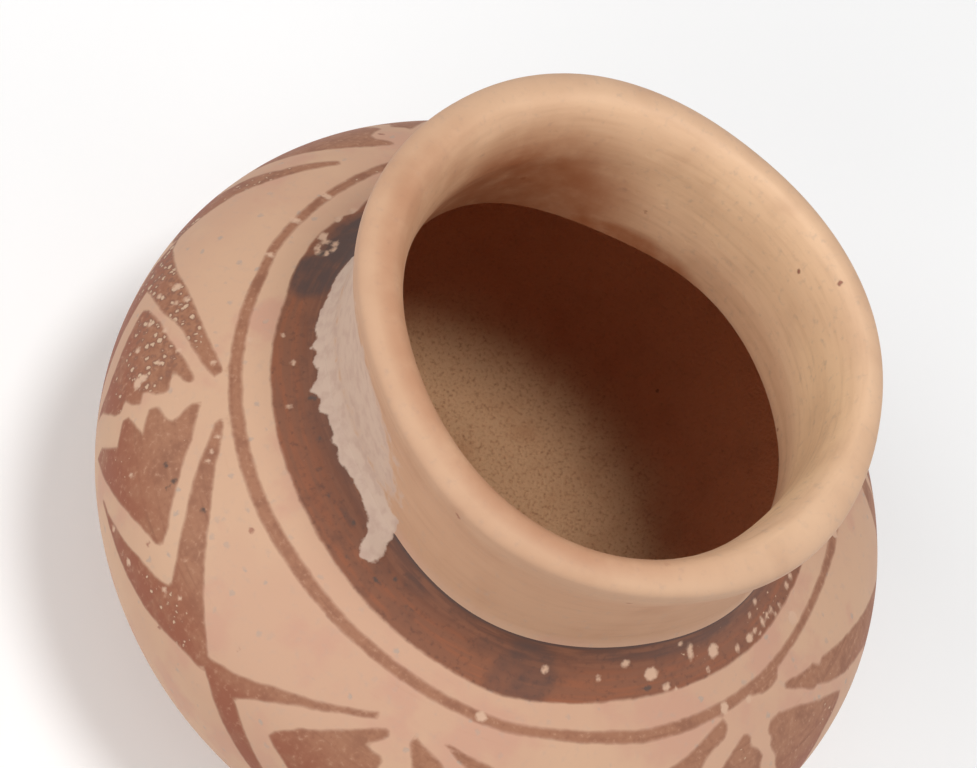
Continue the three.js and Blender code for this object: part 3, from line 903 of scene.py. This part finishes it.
# %% [markdown]
# ## The brown paint
# The paint is iron-rich clay brushed on thin, so it is never one brown. It is mottled where it
# pooled, faintly streaked along the stroke, and redder low on the jar where the fire was hotter. The
# band is darker towards the foot of the neck, which is painted shade from the neck, and nearly black
# in the crease. A small noise moves its stored depth before that becomes a mask, which gives the edge
# of a soft brush. Where it is worn the buff shows through as pale flecks.

# %% Mix the paint
STROKE_BROWN = "#98674b"
STROKE_DARK = "#84543b"
STROKE_RUST = "#884a30"
BAND_BROWN = "#7a492f"
BAND_DARK = "#5c3420"
BAND_WARM = "#864c2d"
# This near black is the smoke on the paint, and also painted shade in the crease at the foot of the neck.
SMOKE_BLACK = "#472e25"
FLAKED = "#c8a389"
FLECKED = "#c3a387"
FLECK_RIM = "#7a4f3c"
STAIN_DARK = "#4d372c"
WORN_THIN = "#c09478"
BRUSHED = (0.09, 0.09, 0.9)


def painted_edge(tree, depth, ragged, soft):
    """A mask with a brushed edge, from a stored depth and a noise of its own."""
    moved = add(tree, "ShaderNodeMath", {0: depth, 1: ragged}, operation="ADD").outputs[0]
    return where_all(tree, [(moved, -soft, soft)])


def rough_edge(tree, place, size, depth):
    """A noise of so many mm that moves an edge to and fro by so many mm."""
    wandering = {"Vector": place, "Scale": per_mm(size), "Detail": 3.0}
    wander = add(tree, "ShaderNodeTexNoise", wandering).outputs[0]
    reach = {0: wander, 1: 2 * depth, 2: -depth}
    return add(tree, "ShaderNodeMath", reach, operation="MULTIPLY_ADD").outputs[0]


def paint_coats(tree, stored, place):
    """Ring and diamonds, band, smoke, worn flecks, flakes and stains, in the order they came."""
    pooled, worn = [
        add(tree, "ShaderNodeTexNoise", {"Vector": place, "Scale": scale, "Detail": detail}).outputs[0]
        for scale, detail in ((per_mm(4), 5.0), (per_mm(1), 4.0))]
    along = {0: stored["unrolled"], 1: BRUSHED}
    brush = add(tree, "ShaderNodeVectorMath", along, operation="MULTIPLY").outputs[0]
    streaks = add(tree, "ShaderNodeTexNoise", {"Vector": brush, "Scale": 1.0, "Detail": 4.0}).outputs[0]
    unsteady = rough_edge(tree, place, 2.4, 0.3)
    strokes = painted_edge(tree, stored["strokes"], unsteady, 0.5)
    band = painted_edge(tree, stored["band"], unsteady, 0.45)
    paint = add(tree, "ShaderNodeMath", {0: strokes, 1: band}, operation="MAXIMUM").outputs[0]
    smudged = add(tree, "ShaderNodeMath", {0: pooled, 1: streaks}, operation="ADD").outputs[0]
    smoky = {0: smudged, 1: stored["smoke"]}
    blotched = add(tree, "ShaderNodeMath", smoky, operation="MULTIPLY").outputs[0]
    loose = shaken(tree, place, 0.9, 1.0)
    dots = add(tree, "ShaderNodeTexVoronoi", {"Vector": loose, "Scale": per_mm(1.5)}).outputs
    by_chance = {0: dots["Color"], 1: -0.32, 2: 0.1}
    uneven = add(tree, "ShaderNodeMath", by_chance, operation="MULTIPLY_ADD").outputs[0]
    where_worn = {0: stored["speckled"], 1: 0.4, 2: uneven}
    wide = add(tree, "ShaderNodeMath", where_worn, operation="MULTIPLY_ADD").outputs[0]
    shown = add(tree, "ShaderNodeMath", {0: wide, 1: dots["Distance"]}, operation="SUBTRACT").outputs[0]
    fleck = (shown, -0.02, 0.14)
    rim = (shown, -0.3, 0.0)
    flakes = painted_edge(tree, stored["flakes"], rough_edge(tree, place, 0.8, 0.4), 0.35)
    stains = painted_edge(tree, stored["stains"], rough_edge(tree, place, 0.8, 0.5), 0.3)
    fall = stored["fall"]
    low = (fall, 30, 45)
    inner_band = (fall, 7, 1)
    # Painted shade: the band darkens in streaks over its top 7 mm towards the foot of the neck, and its
    # last millimetre in the crease goes nearly black.
    coats = [
        ([strokes], STROKE_BROWN), ([strokes, (pooled, 0.45, 0.75)], STROKE_DARK),
        ([strokes, (worn, 0.5, 0.9)], STROKE_DARK),
        ([strokes, (stored["strokes"], 1.0, -1.2)], STROKE_DARK),
        ([strokes, (streaks, 0.5, 0.8)], STROKE_DARK),
        ([strokes, low, (pooled, 0.15, 0.55)], STROKE_RUST), ([band], BAND_BROWN),
        ([band, (streaks, 0.42, 0.68)], BAND_WARM),
        ([band, inner_band, (streaks, 0.35, 0.6)], BAND_DARK), ([band, (pooled, 0.5, 0.9)], BAND_DARK),
        ([band, (fall, 0.9, 0.1)], SMOKE_BLACK), ([strokes, (worn, 0.47, 0.0)], WORN_THIN),
        ([band, (worn, 0.52, 0.85)], BAND_DARK), ([paint, (blotched, 0.2, 1.05)], SMOKE_BLACK),
        ([paint, rim, (stored["speckled"], 0.3, 1.2)], FLECK_RIM), ([paint, fleck], FLECKED),
        ([flakes], FLAKED), ([stains], STAIN_DARK)]
    return coats, [([paint], 0.3), ([paint, fleck], -0.6), ([flakes], -0.9)]


print("band brown as light:", [round(channel, 3) for channel in tint(BAND_BROWN)])

# %% [markdown]
# ## The lime crust
# A pinkish white film of lime and soil, thick enough to hide the paint near its torn lower edge, and
# thinner and patchy up the neck.

# %% Mix the crust
CRUST_PINK = "#cbb09d"
CRUST_SHADE = "#c0a291"


def crust_coats(tree, stored, place):
    """The crust and its browner patches, as coats."""
    torn = painted_edge(tree, stored["crust"], rough_edge(tree, place, 1.3, 0.75), 0.3)
    patches = {"Vector": place, "Scale": per_mm(2.4), "Detail": 5.0}
    patchy = add(tree, "ShaderNodeTexNoise", patches).outputs[0]
    whole = add(tree, "ShaderNodeMath", {0: patchy, 1: stored["cover"]}, operation="ADD").outputs[0]
    film = (whole, 0.6, 0.95)
    coats = [([torn, film], CRUST_PINK), ([torn, film, (patchy, 0.42, 0.7)], CRUST_SHADE)]
    return coats, [([torn, film], 0.6)]


print("crust as light:", [round(channel, 3) for channel in tint(CRUST_PINK)])

# %% [markdown]
# ## Painted shade on the neck
# The slip is painted a soft red-brown as painted shade where the neck runs down to its throat, along
# the inner edge of the lip, and over part of the lip.

# %% Mix the painted shade of the neck
# A red-brown for painted shade on the neck.
USED_BROWN = "#a0603a"


def used_coats(tree, stored, place):
    """The painted shade on the neck, a soft red-brown, as a coat."""
    clouds = {"Vector": place, "Scale": per_mm(6), "Detail": 4.0}
    uneven = add(tree, "ShaderNodeTexNoise", clouds).outputs[0]
    return [([stored["smoke"], (uneven, -0.4, 0.7)], USED_BROWN)], []


# The brown of the neck is painted shade.
print("brown of use as light:", [round(channel, 3) for channel in tint(USED_BROWN)])

# %% [markdown]
# ## Laying the coats
# The body and the neck are one firing of one clay, so one function builds both materials. It mixes
# the coats in order, adds up the reliefs, and gives them to a rough dielectric shader. The neck has
# no paint and no bare clay, and only the neck carries the painted shade of its throat and lip.

# %% Build the two materials
CLAY_IOR = 1.5
CLAY_ROUGHNESS = 0.62
RELIEF_UNIT = 0.05


def earthenware(name, mesh, *kinds_of_coats):
    """Slipped earthenware for a mesh, with the kinds of coats that it carries."""
    material = bpy.data.materials.new(name)
    material.use_nodes = True
    tree = material.node_tree
    shader = tree.nodes["Principled BSDF"]
    place = add(tree, "ShaderNodeTexCoord").outputs["Object"]
    stored = {kept: add(tree, "ShaderNodeAttribute", attribute_name=kept).outputs["Fac"]
              for kept in DEPTHS + SHARES if kept in mesh.attributes}
    stored["unrolled"] = add(tree, "ShaderNodeAttribute", attribute_name="unrolled").outputs["Vector"]
    colour, height = tint(BUFF), 0.0
    for coats, reliefs in [lay(tree, stored, place) for lay in kinds_of_coats]:
        for masks, code in coats:
            laid = {0: where_all(tree, masks), 6: colour, 7: tint(code)}
            colour = add(tree, "ShaderNodeMix", laid, data_type="RGBA").outputs[2]
        for masks, gain in reliefs:
            raised = {0: where_all(tree, masks), 1: gain, 2: height}
            height = add(tree, "ShaderNodeMath", raised, operation="MULTIPLY_ADD").outputs[0]
    bump = add(tree, "ShaderNodeBump", {"Height": height, "Distance": RELIEF_UNIT * MM, "Strength": 1.0})
    tree.links.new(colour, shader.inputs["Base Color"])
    tree.links.new(bump.outputs[0], shader.inputs["Normal"])
    shader.inputs["Roughness"].default_value = CLAY_ROUGHNESS
    shader.inputs["IOR"].default_value = CLAY_IOR
    mesh.materials.append(material)
    print(name, "nodes", len(tree.nodes))


earthenware("earthenware, slipped and painted", body_mesh, clay_coats, bare_coats, paint_coats, crust_coats)
earthenware("earthenware, slipped and wiped smooth", neck_mesh, clay_coats, used_coats, crust_coats)

# %% [markdown]
# ## The floor and the light
# The jar stands on a plain pale floor. Camera rays see it white, and so do the rays of glossy and
# clear surfaces, while the light that it gives back is that of pale paper. Light comes softly from
# all round. A round lamp nearly overhead reaches the floor of the jar through the mouth, and three wide
# low ones light the inside of the neck and the flanks. Together they give a surface that looks up
# about the light of a white world of strength 1, so colours render about as they are written.

# %% Lay the floor
# The floor's size is in metres, and its gap under the foot in millimetres.
FLOOR_SIZE = 4.0
FLOOR_GAP = 0.1
FLOOR_PAPER = "#e6e4e1"
FLOOR_SEEN = "#ffffff"


def seen_directly(tree):
    """1 for rays that show the background, and 0 for those that only bring light."""
    rays = add(tree, "ShaderNodeLightPath").outputs
    seen = rays["Is Camera Ray"]
    for kind in ("Is Glossy Ray", "Is Transmission Ray"):
        seen = add(tree, "ShaderNodeMath", {0: seen, 1: rays[kind]}, operation="MAXIMUM").outputs[0]
    return seen


bm = bmesh.new()
bmesh.ops.create_grid(bm, x_segments=1, y_segments=1, size=FLOOR_SIZE / 2)
bmesh.ops.translate(bm, verts=bm.verts, vec=(0, 0, -FLOOR_GAP * MM))
floor_mesh = bpy.data.meshes.new("floor")
bm.to_mesh(floor_mesh)
bm.free()
paper = bpy.data.materials.new("matt paper")
paper.use_nodes = True
sheet = paper.node_tree
two_looks = {0: seen_directly(sheet), 6: tint(FLOOR_PAPER), 7: tint(FLOOR_SEEN)}
shade = add(sheet, "ShaderNodeMix", two_looks, data_type="RGBA")
sheet.links.new(shade.outputs[2], sheet.nodes["Principled BSDF"].inputs["Base Color"])
sheet.nodes["Principled BSDF"].inputs["Roughness"].default_value = 1.0
floor_mesh.materials.append(paper)
floor = bpy.data.objects.new("floor", floor_mesh)
bpy.context.scene.collection.objects.link(floor)

# %% Set the light
# Each lamp is its strength, its width in metres, and the side it stands on.
SKY_LEVEL = 0.35
LAMP_DISTANCE = 1.4
LAMPS = {"lamp overhead": (0.39, 0.36, (0.1, -0.05, 0.99)),
         "wide lamp in front": (0.22, 0.9, (-0.1, -0.95, 0.5)),
         "wide lamp left": (0.28, 0.9, (-0.84, -0.54, 0.8)),
         "wide lamp right": (0.19, 0.9, (0.95, 0.15, 0.35))}

world = bpy.data.worlds.new("soft white sky")
world.use_nodes = True
sky = world.node_tree
level = add(sky, "ShaderNodeMapRange", {"Value": seen_directly(sky), "To Min": SKY_LEVEL, "To Max": 1.0})
sky.nodes["Background"].inputs["Color"].default_value = (1, 1, 1, 1)
sky.links.new(level.outputs[0], sky.nodes["Background"].inputs["Strength"])
bpy.context.scene.world = world

for name, (strength, width, side) in LAMPS.items():
    lamp = bpy.data.objects.new(name, bpy.data.lights.new(name, "AREA"))
    lamp.data.shape = "DISK"
    lamp.data.size = width
    lamp.data.energy = strength * math.pi ** 2 * LAMP_DISTANCE ** 2
    away = Vector(side).normalized()
    facing = away.to_track_quat("Z", "Y").to_matrix().to_4x4()
    lamp.matrix_world = Matrix.Translation(away * LAMP_DISTANCE) @ facing
    bpy.context.scene.collection.objects.link(lamp)
    print(name, "in watts:", round(lamp.data.energy, 2))
bpy.context.scene.view_settings.view_transform = "Standard"
